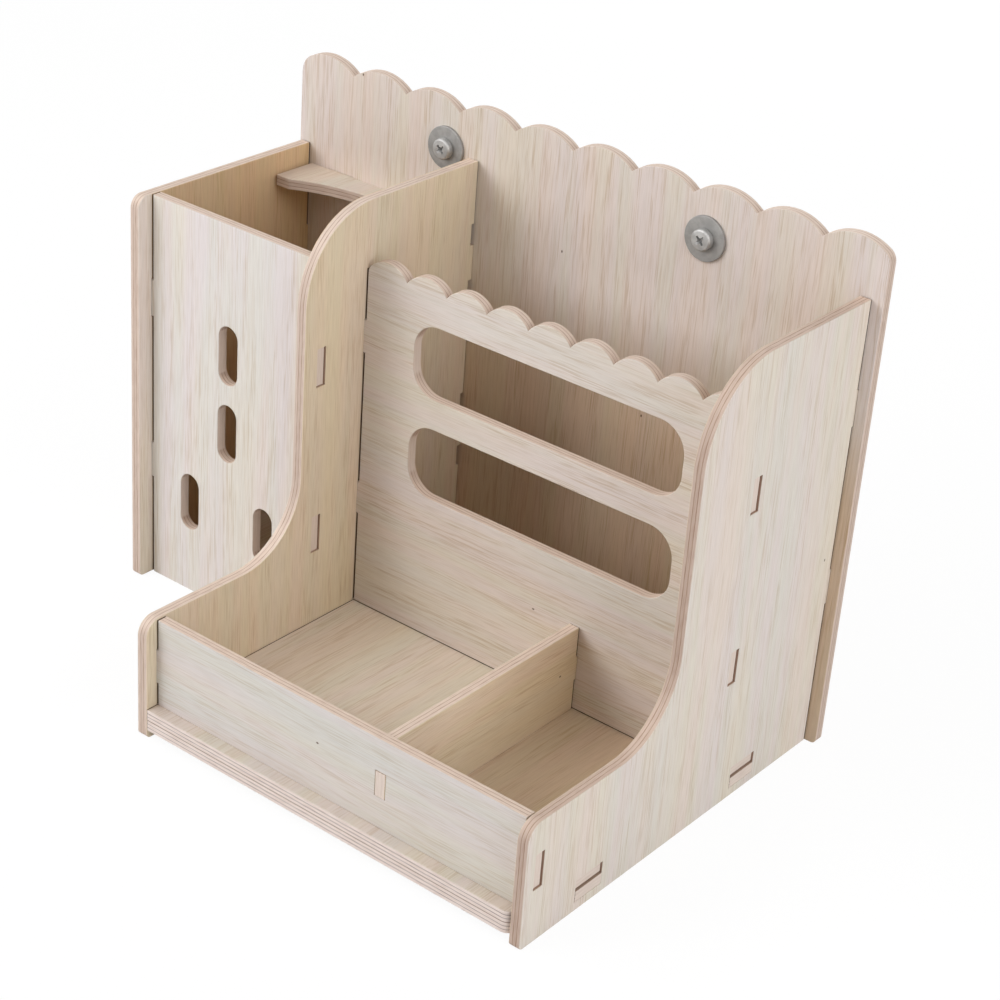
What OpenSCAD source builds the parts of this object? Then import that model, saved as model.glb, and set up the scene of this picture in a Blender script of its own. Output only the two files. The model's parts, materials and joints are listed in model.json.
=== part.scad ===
// Plywood hay feeder box: a hay rack with a two-part food trough and a bottle box at its left,
// slotted together from flat boards and bolted to a cage wall through its back panel.
// X runs to the right, Y to the back and Z up. The origin is under the middle of the whole thing.

/* [Plywood] */
// Thickness of every board
ply_t = 5; // [3:0.5:8]
// Play at each end of a tab in its slot
slot_play = 0.2; // [0.05:0.05:0.4]
// Play between the faces of a tab and its slot
face_play = 0.1; // [0.05:0.05:0.2]
// Gap between the edge of a board and the face beside it
edge_gap = 0.3; // [0.1:0.1:0.8]
// Wider gap at the side edges of the hay panel, the box front and the trough's front board
wide_gap = 0.8; // [0.1:0.1:1.2]
// Gap under the hay panel and behind the divider
sill_gap = 0.4; // [0.1:0.1:1.2]
// How far a recessed tab end stays behind the outer face
tab_recess = 1; // [0:0.1:2.5]
// Gap between the sides' rear edges and the back panel
rear_gap = 0.5; // [0.1:0.1:0.9]

/* [Widths] */
// Clear width between the two feeder sides
feeder_w = 188; // [150:1:240]
// Clear width of the bottle box
box_w = 91; // [70:1:120]
// Overhang of the back panel past the box side
back_over_l = 1; // [0:0.5:10]
// Overhang of the back panel past the right side
back_over_r = 5; // [0:0.5:10]
// Clear width of the small food compartment
small_food_w = 66.5; // [40:0.5:90]

/* [Depths] */
// From the back panel's face to the front edge of the feeder sides
side_d = 191; // [170:1:230]
// From the back panel's face to the upright front edge of the feeder sides
waist_d = 104; // [95:0.5:115]
// From the back panel's face to the face of the hay panel
hay_d = 68.5; // [50:0.5:80]
// Ledge in front of the trough board
ledge_d = 5.5; // [3:0.5:15]
// From the back panel's face to the front edge of the box side
box_side_d = 104; // [95:0.5:115]
// From the back panel's face to the face of the box front
box_front_d = 96.5; // [85:0.5:98]

/* [Heights] */
// Height of the feet under the base board
foot_h = 4; // [2:0.5:10]
// Valleys of the back panel's scallops, above the floor
back_valley_h = 204; // [198:1:230]
// Top of the feeder sides, above the floor
side_h = 186; // [170:0.5:190]
// Low front of the feeder sides, above the floor
side_low_h = 40.2; // [32:0.1:60]
// Trough board's top edge, above the floor
trough_h = 39.6; // [30:0.1:60]
// Divider's top edge, above the floor
divider_h = 38.9; // [30:0.1:60]
// Valleys of the hay panel's scallops, above the floor
hay_valley_h = 157; // [150:1:165]
// Top of the bottle box, above the floor
box_h = 167.5; // [160:0.5:180]

/* [Curves] */
// Radius of the convex bend at the top of the feeder sides
bend_top_r = 38; // [20:1:40]
// Radius of the concave bend above the trough
bend_low_r = 33; // [20:1:40]
// Rounding of the low front corners of the feeder sides
side_corner_r = 7.5; // [2:0.5:10]
// Rounding of the box side's top front corner
box_corner_r = 5.5; // [2:0.5:8]
// Rounding of the back panel's top left corner
back_corner_l = 9; // [3:0.5:11]
// Rounding of the back panel's top right corner
back_corner_r = 5.5; // [3:0.5:11]
// Rounding of the hay panel's top corners
hay_corner_r = 4; // [1:0.5:6]
// Rounding of the corners at the feet
foot_corner_r = 2; // [1:0.5:5]
// Rounding of the right front corner of the floor and base boards
ledge_corner_r = 4; // [1:0.5:5]
// Number of scallops along the back panel
back_scallops = 10; // [6:1:14]
// Rise of the back panel's scallops
back_rise = 5.4; // [3:0.1:8]
// Number of scallops along the hay panel
hay_scallops = 9; // [5:1:12]
// Rise of the hay panel's scallops
hay_rise = 5.3; // [3:0.1:7]

/* [Openings] */
// Width of the two windows in the hay panel
window_w = 134; // [80:1:150]
// Height of each window
window_h = 32; // [20:1:34]
// Corner radius of the windows
window_r = 12; // [4:0.5:15]
// Bottom of the lower window, above the floor
window_z = 65.5; // [50:0.5:72]
// Bar between the two windows
window_bar = 13.3; // [8:0.1:14]
// Width of the stadium slots in the box front
stadium_w = 11; // [6:0.5:14]
// Height of the stadium slots
stadium_h = 27; // [16:1:32]
// Sideways offset of the two low stadium slots
stadium_side = 22; // [16:0.5:28]
// Centre of the low pair of stadium slots, above the floor
stadium_z1 = 30.5; // [24:0.5:34]
// Centre of the middle stadium slot, above the floor
stadium_z2 = 72; // [68:0.5:75]
// Centre of the top stadium slot, above the floor
stadium_z3 = 108.5; // [106:0.5:112]

/* [Tabs] */
// Length along the edge of the floor tabs
floor_tab_w = 16; // [8:0.5:20]
// Centre of the rear floor tabs, in front of the back panel
floor_tab_d1 = 49; // [40:1:54]
// Centre of the front floor tabs, in front of the back panel
floor_tab_d2 = 150.5; // [140:0.5:155]
// Height of the hay panel's tabs
hay_tab_h = 15; // [8:0.5:18]
// Centre of the hay panel's lower tabs, above the floor
hay_tab_z1 = 51; // [45:0.5:56]
// Centre of the hay panel's upper tabs, above the floor
hay_tab_z2 = 126.5; // [120:0.5:132]
// Height of the trough board's tabs
trough_tab_h = 15.5; // [8:0.5:17]
// Centre of the trough board's tabs, above the floor
trough_tab_z = 18; // [14:0.5:20]
// Height of the divider's tabs
divider_tab_h = 11; // [6:0.5:14]
// Centre of the divider's tabs, above the floor
divider_tab_z = 19.5; // [16:0.5:22]
// Height of the box front's tabs
box_tab_h = 17; // [8:0.5:18]
// Centre of the box front's lower tabs, above the floor
box_tab_z1 = 43; // [38:0.5:48]
// Centre of the box front's upper tabs, above the floor
box_tab_z2 = 120.5; // [115:0.5:128]
// Height of the side boards' tabs in the back panel
back_tab_h = 16; // [8:0.5:20]
// Centre of the lower tabs in the back panel, above the floor
back_tab_z1 = 60; // [50:1:70]
// Centre of the upper tabs in the back panel, above the floor
back_tab_z2 = 140; // [130:1:142]
// Centre of the box side's upper rear tab, above the floor
box_back_tab_z2 = 120; // [100:1:130]
// Depth of the relief cuts beside the middle side's rear tabs
relief_d = 2; // [1:0.5:4]
// Length of each relief cut
relief_l = 10; // [4:1:20]
// Length of the box floor's tabs along its side edges
box_floor_tab_w = 12; // [8:0.5:14]
// Centre of the box floor's rear tabs, in front of the back panel
box_floor_tab_d1 = 22; // [16:1:26]
// Centre of the box floor's front tabs, in front of the back panel
box_floor_tab_d2 = 74; // [70:1:80]

/* [Bottle rest] */
// From the top of the bottle box down to the rest's top face
rest_drop = 9.3; // [6:0.1:16]
// Gap between the left end of the bottle rest and the box side
rest_gap = 1.3; // [0.1:0.1:2]
// Depth of the bottle rest at its ends
rest_d = 22.5; // [18:0.5:30]
// Depth of the bottle rest at the middle of its arc
rest_mid_d = 12; // [10:0.5:15]
// Width of the arc across the front of the bottle rest
rest_arc_w = 75; // [50:1:80]
// Width of each of its two tabs in the back panel
rest_tab_w = 14; // [8:1:18]
// Distance between the centres of those tabs
rest_tab_span = 54; // [30:1:56]

/* [Clamp hardware] */
// Distance between the two mounting bolts
bolt_span = 134; // [80:1:150]
// Sideways offset of the pair of bolts from the middle of the back panel
bolt_mid = 1.3; // [-5:0.1:5]
// Height of the bolts above the floor
bolt_z = 187.1; // [180:0.1:190]
// Thread diameter of the bolts
bolt_d = 5; // [4:0.5:6]
// Length of the bolts under the head
bolt_len = 30; // [25:1:40]
// Diameter of the bolt heads
head_d = 9.2; // [8:0.1:11]
// Height of the bolt heads
head_h = 3.2; // [2:0.1:4]
// Diameter of the washers
washer_d = 19; // [15:0.5:20]
// Thickness of the washers
washer_t = 1.4; // [0.8:0.1:2]
// Play round the bolt in washers and panel holes
hole_play = 0.15; // [0.1:0.05:0.4]
// Running clearance of the nut on its thread
thread_play = 0.05; // [0.02:0.01:0.1]
// Gap kept at the seats of the loose washers and nuts
seat_gap = 0.05; // [0.02:0.01:0.2]
// Diameter of the wing nut's boss at its seat
nut_d = 11; // [8:0.5:12]
// Height of the wing nut's boss
nut_h = 6.5; // [4:0.5:7]
// Span over the two wings
wing_span = 26; // [20:1:32]
// Height of the wing tips above the nut's seat
wing_h = 13; // [10:0.5:16]
// Thickness of the wings
wing_t = 2; // [1.2:0.1:2.4]

/* [Hidden] */
$fn = 64;
// Overlap of cutting shapes past the faces they cut
cut = 1;

// Sides of the object from left to right
back_w = back_over_l + box_w + feeder_w + back_over_r + 3 * ply_t;
back_pitch = back_w / back_scallops;
x_left = -back_w / 2;
x_box_side = x_left + back_over_l;
x_box_in = x_box_side + ply_t;
x_middle = x_box_in + box_w;
x_feeder = x_middle + ply_t;
x_right = x_feeder + feeder_w;
x_divider = x_right - small_food_w - ply_t;
x_box_mid = x_box_in + box_w / 2;
x_rest_mid = (x_box_in + rest_gap + x_middle - edge_gap) / 2;

// Depth: the whole length from the trough to the bolt ends is centred on the origin
bolt_out = bolt_len - washer_t - ply_t;
y_back = (side_d - ply_t - bolt_out) / 2;
y_rear = y_back + ply_t;
y_front = y_back - side_d;
y_waist = y_back - waist_d;
y_hay = y_back - hay_d;
y_trough = y_front + ledge_d;
y_box_side = y_back - box_side_d;
y_box_front = y_back - box_front_d;

// Height: the floor's top face is the level that the heights are given from
z_base = foot_h;
z_floor = z_base + ply_t;
z_top = z_floor + ply_t;
z_rest = z_top + box_h - rest_drop - ply_t;

// Places of the tabs, as [centre, length] along their edges
floor_tabs = [[y_back - floor_tab_d1, floor_tab_w], [y_back - floor_tab_d2, floor_tab_w]];
hay_tabs = [[z_top + hay_tab_z1, hay_tab_h], [z_top + hay_tab_z2, hay_tab_h]];
trough_tabs = [[z_top + trough_tab_z, trough_tab_h]];
divider_tabs = [[z_top + divider_tab_z, divider_tab_h]];
box_tabs = [[z_top + box_tab_z1, box_tab_h], [z_top + box_tab_z2, box_tab_h]];
back_tabs = [[z_top + back_tab_z1, back_tab_h], [z_top + back_tab_z2, back_tab_h]];
box_back_tabs = [[z_top + back_tab_z1, back_tab_h], [z_top + box_back_tab_z2, back_tab_h]];
box_floor_tabs = [
  [y_back - box_floor_tab_d1, box_floor_tab_w],
  [y_back - box_floor_tab_d2, box_floor_tab_w]
];
rest_tabs = [for (s = [-1, 1]) [x_rest_mid + s * rest_tab_span / 2, rest_tab_w]];

// Cross recess, rim and tip of the bolts
recess_w = 1.1;
recess_l = 4.6;
recess_deep = 1.8;
head_rim = 1;
tip_chamfer = 0.6;
// How deep the wings start inside the nut's boss
wing_root = 1.8;
// How much narrower the nut's boss is at its top
nut_taper = 2;

wood = [0.87, 0.83, 0.78];
zinc = [0.68, 0.68, 0.69];

// Place across the back panel of the left (s = -1) or right (s = 1) bolt
function bolt_x(s) = bolt_mid + s * bolt_span / 2;

// Board standing with its faces to the left and right. The outline is drawn in (Y, Z).
module board_x(x) {
  translate([x, 0, 0]) rotate([90, 0, 90]) linear_extrude(ply_t) children();
}

// Board standing with its faces to the front and back. The outline is drawn in (X, Z).
module board_y(y) {
  translate([0, y + ply_t, 0]) rotate([90, 0, 0]) linear_extrude(ply_t) children();
}

// Board lying flat. The outline is drawn in (X, Y).
module board_z(z) {
  translate([0, 0, z]) linear_extrude(ply_t) children();
}

// Rectangle from its low to its high corner
module box2(a0, b0, a1, b1) {
  translate([a0, b0]) square([a1 - a0, b1 - b0]);
}

// What a round corner takes off the outline at (a, b); sa and sb point out of the board
module corner(a, b, sa, sb, r) {
  translate([a, b]) scale([sa, sb]) difference() {
    translate([-r, -r]) square(r + cut);
    translate([-r, -r]) circle(r);
  }
}

// Rectangle with four round corners
module round_box2(a0, b0, a1, b1, r) {
  difference() {
    box2(a0, b0, a1, b1);
    corner(a0, b0, -1, -1, r);
    corner(a1, b0, 1, -1, r);
    corner(a0, b1, -1, 1, r);
    corner(a1, b1, 1, 1, r);
  }
}

// Row of tabs out of an upright edge, from edge to end, at the places in list
module tabs_v(edge, end, list) {
  for (p = list) box2(min(edge, end), p[0] - p[1] / 2, max(edge, end), p[0] + p[1] / 2);
}

// Row of tabs out of a level edge
module tabs_h(edge, end, list) {
  for (p = list) box2(p[0] - p[1] / 2, min(edge, end), p[0] + p[1] / 2, max(edge, end));
}

// Slots for upright tabs in a board whose slots start at a and are as wide as a board is thick
module slots_v(a, list) {
  for (p = list) {
    box2(a - face_play, p[0] - p[1] / 2 - slot_play, a + ply_t + face_play, p[0] + p[1] / 2 + slot_play);
  }
}

// Slots for level tabs, n boards tall, with their lower face at b
module slots_h(b, list, n) {
  for (p = list) {
    box2(p[0] - p[1] / 2 - slot_play, b - face_play, p[0] + p[1] / 2 + slot_play, b + n * ply_t + face_play);
  }
}

// Radius of a scallop of this width and rise
function scallop_r(pitch, rise) = (pitch * pitch / 4 + rise * rise) / (2 * rise);

// Row of n scallops from a0 to a1, rising from the level b
module scallops(a0, a1, b, n, rise) {
  pitch = (a1 - a0) / n;
  r = scallop_r(pitch, rise);
  intersection() {
    union() {
      for (i = [0 : n - 1]) translate([a0 + (i + 0.5) * pitch, b + rise - r]) circle(r);
    }
    box2(a0, b - cut, a1, b + rise + cut);
  }
}

// What the round corner of radius r takes off the last scallop, at the left (s = -1) or right edge a.
// The corner's arc runs into the scallop's arc without a kink.
module scallop_end(a, s, pitch, b, rise, r) {
  big = scallop_r(pitch, rise);
  side = pitch / 2 - r;
  up = sqrt(pow(big - r, 2) - side * side);
  z_round = b + rise - big + up;
  meet = r + side - side * big / (big - r);
  translate([a, z_round]) scale([s, 1]) difference() {
    translate([-meet, 0]) square([meet + cut, big]);
    translate([-r, 0]) circle(r);
  }
}

// Outline of a feeder side: tall at the back, bent down to the low trough at the front
module feeder_side_outline() {
  z_side = z_top + side_h;
  z_low = z_top + side_low_h;
  difference() {
    union() {
      box2(y_front, 0, y_back - rear_gap, z_side);
      tabs_v(y_back - rear_gap, y_rear, back_tabs);
    }
    difference() {
      box2(y_front - cut, z_low, y_waist, z_side + cut);
      corner_fill(y_waist, z_low, bend_low_r);
    }
    corner(y_waist, z_side, -1, 1, bend_top_r);
    corner(y_front, z_low, -1, 1, side_corner_r);
    corner(y_front, 0, -1, -1, foot_corner_r);
    slots_h(z_base, floor_tabs, 2);
    slots_v(y_hay, hay_tabs);
    slots_v(y_trough, trough_tabs);
  }
}

// Material left in the inner corner at (a, b), under a concave bend that opens to the upper front
module corner_fill(a, b, r) {
  difference() {
    box2(a - r, b - cut, a + cut, b + r);
    translate([a - r, b + r]) circle(r);
  }
}

module back_panel() {
  z_valley = z_top + back_valley_h;
  color(wood) difference() {
    board_y(y_back) difference() {
      union() {
        box2(x_left, 0, -x_left, z_valley);
        scallops(x_left, -x_left, z_valley, back_scallops, back_rise);
      }
      for (s = [-1, 1]) corner(s * x_left, 0, -s, -1, foot_corner_r);
      scallop_end(x_left, -1, back_pitch, z_valley, back_rise, back_corner_l);
      scallop_end(-x_left, 1, back_pitch, z_valley, back_rise, back_corner_r);
      for (x = [x_middle, x_right]) slots_v(x, back_tabs);
      slots_v(x_box_side, box_back_tabs);
      slots_h(z_rest, rest_tabs, 1);
    }
    for (s = [-1, 1]) bolt_hole(s);
  }
}

// Hole for a mounting bolt through the back panel
module bolt_hole(s) {
  translate([bolt_x(s), y_rear + cut, z_top + bolt_z]) rotate([90, 0, 0])
    cylinder(h = ply_t + 2 * cut, d = bolt_d + 2 * hole_play);
}

module right_side_panel() {
  color(wood) board_x(x_right) feeder_side_outline();
}

module middle_side_panel() {
  color(wood) board_x(x_middle) difference() {
    feeder_side_outline();
    slots_v(y_box_front, box_tabs);
    slots_h(z_base, box_floor_tabs, 1);
    for (p = back_tabs, s = [-1, 1]) relief(p[0] + s * p[1] / 2, s);
  }
}

// Relief cut into the rear edge, up (s = 1) or down (s = -1) from the end of a tab at the height b
module relief(b, s) {
  box2(y_back - relief_d, min(b, b + s * relief_l), y_rear + cut, max(b, b + s * relief_l));
}

module box_side_panel() {
  z_box = z_top + box_h;
  color(wood) board_x(x_box_side) difference() {
    union() {
      box2(y_box_side, 0, y_back - rear_gap, z_box);
      tabs_v(y_back - rear_gap, y_rear, box_back_tabs);
    }
    corner(y_box_side, z_box, -1, 1, box_corner_r);
    corner(y_box_side, 0, -1, -1, foot_corner_r);
    slots_v(y_box_front, box_tabs);
    slots_h(z_base, box_floor_tabs, 1);
  }
}

module box_front_panel() {
  color(wood) board_y(y_box_front) difference() {
    union() {
      box2(x_box_in + wide_gap, 0, x_middle - wide_gap, z_top + box_h);
      tabs_v(x_box_in + wide_gap, x_box_side + tab_recess, box_tabs);
      tabs_v(x_middle - wide_gap, x_feeder - tab_recess, box_tabs);
    }
    for (p = [[0, stadium_z3], [0, stadium_z2], [-stadium_side, stadium_z1], [stadium_side, stadium_z1]]) {
      stadium(x_box_mid + p[0], z_top + p[1]);
    }
  }
}

// Upright slot with round ends, centred at (a, b)
module stadium(a, b) {
  reach = (stadium_h - stadium_w) / 2;
  box2(a - stadium_w / 2, b - reach, a + stadium_w / 2, b + reach);
  for (s = [-1, 1]) translate([a, b + s * reach]) circle(d = stadium_w);
}

module box_floor() {
  color(wood) board_z(z_base) {
    box2(x_box_in + edge_gap, y_box_front + ply_t + edge_gap, x_middle - edge_gap, y_back - edge_gap);
    tabs_v(x_box_in + edge_gap, x_box_side + tab_recess, box_floor_tabs);
    tabs_v(x_middle - edge_gap, x_feeder - edge_gap, box_floor_tabs);
  }
}

module bottle_rest() {
  r = (rest_arc_w * rest_arc_w / 4 + pow(rest_d - rest_mid_d, 2)) / (2 * (rest_d - rest_mid_d));
  color(wood) board_z(z_rest) {
    difference() {
      box2(x_box_in + rest_gap, y_back - rest_d, x_middle - edge_gap, y_back);
      translate([x_rest_mid, y_back - rest_mid_d - r]) circle(r, $fn = 180);
    }
    tabs_h(y_back, y_rear - tab_recess, rest_tabs);
  }
}

module hay_panel() {
  x0 = x_feeder + wide_gap;
  x1 = x_right - wide_gap;
  z_valley = z_top + hay_valley_h;
  mid = (x0 + x1) / 2;
  color(wood) board_y(y_hay) difference() {
    union() {
      box2(x0, z_top + sill_gap, x1, z_valley);
      scallops(x0, x1, z_valley, hay_scallops, hay_rise);
      tabs_v(x0, x_middle + tab_recess, hay_tabs);
      tabs_v(x1, x_right + ply_t - tab_recess, hay_tabs);
    }
    for (z = [window_z, window_z + window_h + window_bar]) {
      round_box2(mid - window_w / 2, z_top + z, mid + window_w / 2, z_top + z + window_h, window_r);
    }
    slots_v(x_divider, divider_tabs);
    scallop_end(x0, -1, (x1 - x0) / hay_scallops, z_valley, hay_rise, hay_corner_r);
    scallop_end(x1, 1, (x1 - x0) / hay_scallops, z_valley, hay_rise, hay_corner_r);
  }
}

module trough_front_board() {
  color(wood) board_y(y_trough) difference() {
    union() {
      box2(x_feeder + wide_gap, z_top, x_right - wide_gap, z_top + trough_h);
      tabs_v(x_feeder + wide_gap, x_middle + tab_recess, trough_tabs);
      tabs_v(x_right - wide_gap, x_right + ply_t - tab_recess, trough_tabs);
    }
    slots_v(x_divider, divider_tabs);
  }
}

module food_divider() {
  color(wood) board_x(x_divider) {
    box2(y_trough + ply_t + edge_gap, z_top, y_hay - sill_gap, z_top + divider_h);
    tabs_v(y_trough + ply_t + edge_gap, y_trough, divider_tabs);
    tabs_v(y_hay - sill_gap, y_hay + ply_t, divider_tabs);
  }
}

// Outline of the floor and base boards, with their side tabs reaching by reach into the sides
module floor_outline(reach) {
  difference() {
    box2(x_feeder + edge_gap, y_front, x_right - edge_gap, y_back - edge_gap);
    corner(x_right - edge_gap, y_front, 1, -1, ledge_corner_r);
  }
  tabs_v(x_feeder + edge_gap, x_feeder - reach, floor_tabs);
  tabs_v(x_right - edge_gap, x_right + reach, floor_tabs);
}

module floor_board() {
  color(wood) board_z(z_floor) floor_outline(ply_t - tab_recess);
}

module base_board() {
  color(wood) board_z(z_base) floor_outline(ply_t);
}

// Clamp parts stand on the bolt's axis with the seat of the head at zero and the thread along +Y
module on_bolt(s, y) {
  translate([bolt_x(s), y, z_top + bolt_z]) rotate([-90, 0, 0]) children();
}

module bolt(s) {
  color(zinc) on_bolt(s, y_back - washer_t) difference() {
    union() {
      translate([0, 0, -head_h + head_rim]) cylinder(h = head_h - head_rim, d = head_d);
      translate([0, 0, -head_h]) cylinder(h = head_rim, d1 = head_d - 2 * head_rim, d2 = head_d);
      cylinder(h = bolt_len - tip_chamfer, d = bolt_d);
      translate([0, 0, bolt_len - tip_chamfer])
        cylinder(h = tip_chamfer, d1 = bolt_d, d2 = bolt_d - 2 * tip_chamfer);
    }
    for (a = [45, 135]) rotate(a) translate([-recess_l / 2, -recess_w / 2, -head_h - cut])
      cube([recess_l, recess_w, recess_deep + cut]);
  }
}

module washer(s, y) {
  color(zinc) on_bolt(s, y) difference() {
    cylinder(h = washer_t, d = washer_d);
    translate([0, 0, -cut]) cylinder(h = washer_t + 2 * cut, d = bolt_d + 2 * hole_play);
  }
}

module wing_nut(s) {
  color(zinc) on_bolt(s, y_rear + washer_t + 2 * seat_gap) difference() {
    union() {
      cylinder(h = nut_h, d1 = nut_d, d2 = nut_d - nut_taper);
      for (a = [0, 180]) rotate(a) wing();
    }
    translate([0, 0, -cut]) cylinder(h = nut_h + 2 * cut, d = bolt_d + 2 * thread_play);
  }
}

// Point where the line from p touches the circle of radius r round c, on its side s
function touch(p, c, r, s) =
  let(d = p - c, a = atan2(d[1], d[0]) + s * acos(r / norm(d))) c + r * [cos(a), sin(a)];

// One upswept wing of the nut, from the boss to its round tip
module wing() {
  tip_r = wing_h / 4;
  tip = [wing_span / 2 - tip_r, wing_h - tip_r];
  low = [nut_d / 2 - wing_root, 0];
  high = [nut_d / 2 - wing_root, nut_h];
  rotate([90, 0, 0]) translate([0, 0, -wing_t / 2]) linear_extrude(wing_t) {
    translate(tip) circle(tip_r);
    polygon([low, touch(low, tip, tip_r, 1), touch(high, tip, tip_r, -1), high]);
  }
}

module left_bolt() { bolt(-1); }
module right_bolt() { bolt(1); }
module left_front_washer() { washer(-1, y_back - washer_t); }
module right_front_washer() { washer(1, y_back - washer_t); }
module left_rear_washer() { washer(-1, y_rear + seat_gap); }
module right_rear_washer() { washer(1, y_rear + seat_gap); }
module left_wing_nut() { wing_nut(-1); }
module right_wing_nut() { wing_nut(1); }

back_panel();
box_side_panel();
middle_side_panel();
right_side_panel();
box_front_panel();
box_floor();
bottle_rest();
hay_panel();
trough_front_board();
food_divider();
floor_board();
base_board();
left_bolt();
right_bolt();
left_front_washer();
right_front_washer();
left_rear_washer();
right_rear_washer();
left_wing_nut();
right_wing_nut();
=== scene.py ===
"""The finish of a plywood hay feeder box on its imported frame, with floor, light and camera.

Lengths are in metres unless a name ends in _mm or a comment says millimetres. X runs to the right, Y to the
back and Z up.
"""
import json
import math

import bmesh
import bpy
from mathutils import Matrix, Vector

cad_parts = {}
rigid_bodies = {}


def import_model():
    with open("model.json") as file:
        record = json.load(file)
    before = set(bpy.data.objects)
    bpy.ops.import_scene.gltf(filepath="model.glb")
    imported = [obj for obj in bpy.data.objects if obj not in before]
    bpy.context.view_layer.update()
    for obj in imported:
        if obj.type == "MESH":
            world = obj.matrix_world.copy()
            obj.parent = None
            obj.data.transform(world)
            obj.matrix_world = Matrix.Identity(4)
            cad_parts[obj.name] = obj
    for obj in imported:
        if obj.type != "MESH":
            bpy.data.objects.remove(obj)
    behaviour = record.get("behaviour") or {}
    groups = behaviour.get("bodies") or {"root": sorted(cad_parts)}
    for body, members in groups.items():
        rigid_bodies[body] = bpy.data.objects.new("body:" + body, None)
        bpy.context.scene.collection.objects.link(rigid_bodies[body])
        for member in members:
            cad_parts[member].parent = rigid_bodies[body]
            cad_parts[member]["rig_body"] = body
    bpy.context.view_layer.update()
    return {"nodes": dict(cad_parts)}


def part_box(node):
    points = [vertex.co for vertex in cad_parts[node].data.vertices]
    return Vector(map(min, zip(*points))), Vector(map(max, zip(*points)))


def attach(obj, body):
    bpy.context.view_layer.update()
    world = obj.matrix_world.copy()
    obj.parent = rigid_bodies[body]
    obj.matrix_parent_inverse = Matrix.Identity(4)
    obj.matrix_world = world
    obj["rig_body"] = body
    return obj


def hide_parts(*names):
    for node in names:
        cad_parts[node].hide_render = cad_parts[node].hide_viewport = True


MM = 0.001
AXES = {"x": 0, "y": 1, "z": 2}

# Node of each board: axis through the board, axis of the grain on its faces, axis its shown tabs point
# along, colour of its veneer and strength of its figure
BOARDS = {
    "back_panel": ("y", "z", None, (217, 204, 195), 1.1),
    "box_side_panel": ("x", "z", None, (221, 208, 196), 0.9),
    "middle_side_panel": ("x", "z", None, (221, 208, 196), 0.9),
    "right_side_panel": ("x", "z", None, (219, 208, 199), 0.85),
    "box_front_panel": ("y", "z", "x", (217, 208, 203), 0.9),
    "box_floor": ("z", "y", "x", (222, 205, 186), 0.8),
    "bottle_rest": ("z", "y", None, (214, 200, 186), 0.8),
    "hay_panel": ("y", "x", "x", (213, 201, 192), 1.1),
    "trough_front_board": ("y", "x", "x", (210, 202, 196), 0.8),
    "food_divider": ("x", "y", "y", (223, 206, 184), 1.0),
    "floor_board": ("z", "y", "x", (223, 208, 191), 1.0),
    "base_board": ("z", "x", "x", (213, 203, 196), 0.6),
}
# Boards with a pale cut edge and darker glue lines
PALE_EDGED = ("floor_board", "base_board")
# Boards with a darker cut edge, and its tint
DARK_EDGED = {"right_side_panel": (0.84, 0.80, 0.78, 1.0)}
# Boards with one face inside the box, rack or trough, which gets painted shade, and the side it looks to
# along the board's own axis
INWARD = {
    "box_side_panel": 1,
    "middle_side_panel": -1,
    "right_side_panel": -1,
    "box_front_panel": 1,
    "trough_front_board": 1,
    "hay_panel": 1,
}
# Boards that stand on, or pass through, the face of another board, with painted shade in these joints
JOINTS = {
    "back_panel": ("box_side_panel", "right_side_panel"),
    "box_side_panel": ("box_front_panel",),
    "middle_side_panel": ("hay_panel", "trough_front_board", "floor_board", "box_front_panel"),
    "right_side_panel": ("hay_panel", "trough_front_board", "floor_board"),
    "hay_panel": ("food_divider",),
    "trough_front_board": ("food_divider",),
    "floor_board": ("hay_panel", "food_divider", "trough_front_board"),
    "base_board": ("floor_board",),
}
EASED_EDGE = 0.3 * MM
# Height of the hay panel's scallops, which meet no other board
HAY_RISE = 5.5 * MM
SMOOTH_BELOW = math.radians(20)
# Larger faces of a board are flat, and smaller ones may be facets of a curve
FACET_LIMIT = 60 * MM ** 2

# M5 hardware, in millimetres, along its own axis: z = 0 is the face that bears on the panel or washer
HOLE_R = 2.65
HEAD_R = 4.6
HEAD_H = 3.2
HEAD_ROUND = 1.1
DOME_H = 0.2
RECESS_LENGTH = 4.6
RECESS_WIDTH = 1.1
RECESS_DEPTH = 1.8
RECESS_TAPER = 0.5
BOLT_LENGTH = 30.0
TIP_CHAMFER = 0.6
THREAD_R = 2.5
THREAD_ROOT_R = 2.07
THREAD_PITCH = 0.8
# Places of the thread's root and crest within one pitch
THREAD_PROFILE = ((0.0, 0.0), (0.25, 0.0), (0.56, 1.0), (0.69, 1.0))
WASHER_R = 9.5
WASHER_T = 1.4
NUT_R = 5.5
NUT_TOP_R = 4.5
NUT_H = 6.5
NUT_BORE_R = 2.55
WING_SPAN = 26.0
WING_H = 13.0
WING_T = 2.0
WING_TIP_R = WING_H / 4
WING_ROOT = 1.8
WING_EASE = 0.55
NUT_VOXEL = 0.22
ROUND_STEPS = 6
LATHE_STEPS = 96

# Camera fitted to the corners of the boards
CAMERA_AIM = Vector((0.03658, 0.00192, 0.10089))
CAMERA_DISTANCE = 0.94844
CAMERA_AZIMUTH = math.radians(37.008)
CAMERA_ELEVATION = math.radians(28.289)
CAMERA_ROLL = math.radians(4.408)
SENSOR_MM = 36
LENS_MM = 85.81

# Floor and world: what the camera sees of them, and how little the world lights the object
FLOOR_HALF = 4.0
FLOOR_GLOW = 0.93
FLOOR_SHADE = 80
WORLD_LIGHT = 0.03

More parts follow.
